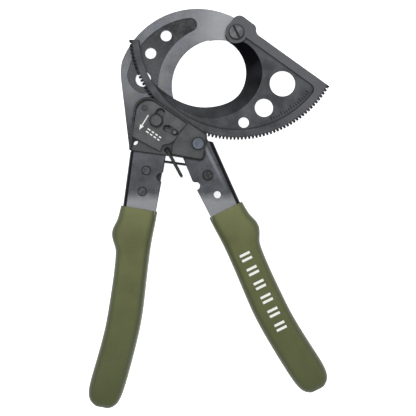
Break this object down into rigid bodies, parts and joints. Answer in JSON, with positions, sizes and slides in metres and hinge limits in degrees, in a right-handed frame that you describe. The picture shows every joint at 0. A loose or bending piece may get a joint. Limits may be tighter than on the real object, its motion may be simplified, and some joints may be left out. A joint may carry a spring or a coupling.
{
  "type": "ratchet cable cutter",
  "caption": "One-hand ratchet cable cutter with a toothed swinging blade, a fixed hooked jaw, a covered ratchet, a wire lock bail and long dipped grips.",
  "frame": {"origin": "under the middle of the tool's outline, on the surface it lies on", "axes": "+Z is the front of the tool, up off the surface it lies on; +Y runs from the grips to the jaws; +X is to the right, towards the moving handle"},
  "size_m": [0.1925, 0.3204, 0.0294],
  "materials": {
    "jaw_steel": "ground satin steel, faint bluish and brown heat sheen",
    "blade_steel": "dark grey phosphated steel with a fine grain, nearly black bevel",
    "bushing_bronze": "satin bronze",
    "bolt_steel": "dark satin steel",
    "cover_steel": "dark grey matte",
    "face_steel": "dark grey matte, slightly lighter, with a plain white arrow",
    "rivet_steel": "satin steel",
    "pin_zinc": "bluish zinc plate",
    "arm_steel": "blued steel, satin",
    "black_steel": "black oxide, semi-gloss",
    "pawl_steel": "hardened steel",
    "spring_wire": "bright spring wire",
    "grip_vinyl": "olive green vinyl, satin, fine speckle, with plain white printed bars"
  },
  "bodies": {
    "frame": {"fixed_jaw": "jaw_steel", "blade_pivot_bolt": "bolt_steel", "blade_pivot_washer": "bolt_steel", "blade_pivot_nut": "bolt_steel", "front_cover": "cover_steel", "face_plate": "face_steel", "rear_cover": "cover_steel", "cover_rivets": "rivet_steel", "front_spacers": "rivet_steel", "rear_spacers": "rivet_steel", "handle_pin": "pin_zinc", "handle_pin_clip": "pin_zinc", "handle_sleeve": "rivet_steel", "left_arm": "arm_steel", "left_arm_rivets": "rivet_steel", "tang_spacer": "rivet_steel", "left_grip": "grip_vinyl", "holding_pawl_pin": "rivet_steel", "holding_pawl_spring": "spring_wire"},
    "blade": {"moving_blade": "blade_steel", "blade_bushing": "bushing_bronze"},
    "handle": {"right_arm": "arm_steel", "right_grip": "grip_vinyl", "spring_screw": "black_steel", "spring_sleeve": "rivet_steel", "spring_nut": "black_steel", "return_spring": "spring_wire", "drive_pawl_stud": "pawl_steel", "drive_pawl_spring": "spring_wire"},
    "drive_pawl": {"drive_pawl": "pawl_steel", "pawl_lug": "pawl_steel"},
    "release_slide": {"release_button": "face_steel", "slider_bar": "face_steel"},
    "holding_pawl": {"holding_pawl": "pawl_steel"},
    "bail": {"lock_bail": "black_steel"},
    "spring_leg": {"return_spring_leg": "spring_wire"}
  },
  "joints": [
    {"name": "blade_pivot", "type": "hinge", "parent": "frame", "child": "blade", "pos_m": [0.0226, 0.1406, 0.0131], "axis": [0, 0, 1], "range_deg": [-88, 100]},
    {"name": "handle_pivot", "type": "hinge", "parent": "frame", "child": "handle", "pos_m": [-0.0079, 0.0512, 0.013], "axis": [0, 0, 1], "range_deg": [-30, 0], "stiffness_Nm_per_rad": 0.6, "springref_deg": 20.05},
    {"name": "drive_pawl_pivot", "type": "hinge", "parent": "handle", "child": "drive_pawl", "pos_m": [-0.0092, 0.0418, 0.0175], "axis": [0, 0, 1], "range_deg": [0, 30]},
    {"name": "release_slide", "type": "slide", "parent": "frame", "child": "release_slide", "axis": [0.4756, 0.8796, 0], "range_m": [0, 0.006]},
    {"name": "holding_pawl_pivot", "type": "hinge", "parent": "frame", "child": "holding_pawl", "pos_m": [-0.0506, 0.0794, 0.0145], "axis": [0, 0, 1], "range_deg": [0, 6.5]},
    {"name": "bail_pivot", "type": "hinge", "parent": "frame", "child": "bail", "pos_m": [-0.0326, 0.0464, 0.013], "axis": [0, 0, 1], "range_deg": [-12, 0]},
    {"name": "return_spring_flex", "type": "hinge", "parent": "handle", "child": "spring_leg", "pos_m": [-0.0003, 0.0262, 0.0164], "axis": [0, 0, 1], "range_deg": [0, 31]}
  ],
  "couplings": [
    {"joint": "drive_pawl_pivot", "follows": "handle_pivot", "ratio": -0.93},
    {"joint": "bail_pivot", "follows": "handle_pivot", "ratio": 0.37},
    {"joint": "return_spring_flex", "follows": "handle_pivot", "ratio": -1},
    {"joint": "holding_pawl_pivot", "follows": "release_slide", "rad_per_m": 17.45}
  ]
}
